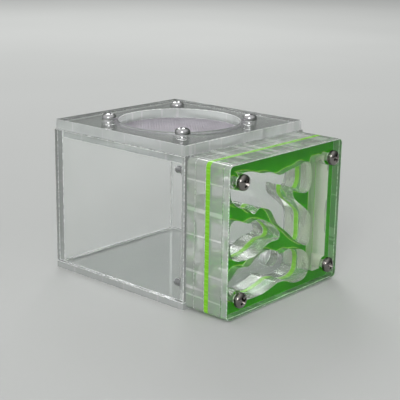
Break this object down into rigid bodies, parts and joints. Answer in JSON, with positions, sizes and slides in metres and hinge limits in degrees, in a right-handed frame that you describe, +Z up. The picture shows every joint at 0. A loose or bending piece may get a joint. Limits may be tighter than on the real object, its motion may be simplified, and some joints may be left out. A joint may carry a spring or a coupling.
{
  "type": "ant habitat",
  "caption": "Clear foraging box with a lift-off mesh-vented lid, joined to a screwed nest block of stacked sheets with winding chambers and a green layer.",
  "frame": {"origin": "middle of the underside of the whole object", "axes": "+Z up, -Y towards the viewing side of the nest, +X to the viewer's right; +Y runs along the length from the nest to the back of the box"},
  "size_m": [0.071, 0.0934, 0.0649],
  "materials": {
    "clear_acrylic": "clear polished acrylic sheet",
    "cut_acrylic": "clear acrylic sheet with pale frosted cut edges",
    "green_acrylic": "bright green translucent acrylic sheet with glowing edges",
    "steel_mesh": "fine woven stainless wire",
    "polished_steel": "polished stainless steel"
  },
  "bodies": {
    "habitat": {"floor_panel": "clear_acrylic", "left_wall": "clear_acrylic", "right_wall": "clear_acrylic", "back_wall": "clear_acrylic", "front_wall": "clear_acrylic", "nest_back_plate": "clear_acrylic", "nest_base_plate": "cut_acrylic", "green_sheet": "green_acrylic", "tunnel_plate": "cut_acrylic", "cover_plate": "clear_acrylic", "nest_screws": "polished_steel", "nest_nuts": "polished_steel"},
    "lid": {"lid_plate": "clear_acrylic", "lid_insert": "clear_acrylic", "vent_mesh": "steel_mesh", "lid_screws": "polished_steel", "lid_nuts": "polished_steel"}
  },
  "joints": [
    {"name": "lid_lift", "type": "slide", "parent": "habitat", "child": "lid", "axis": [0, 0, 1], "range_m": [0, 0.06]}
  ]
}
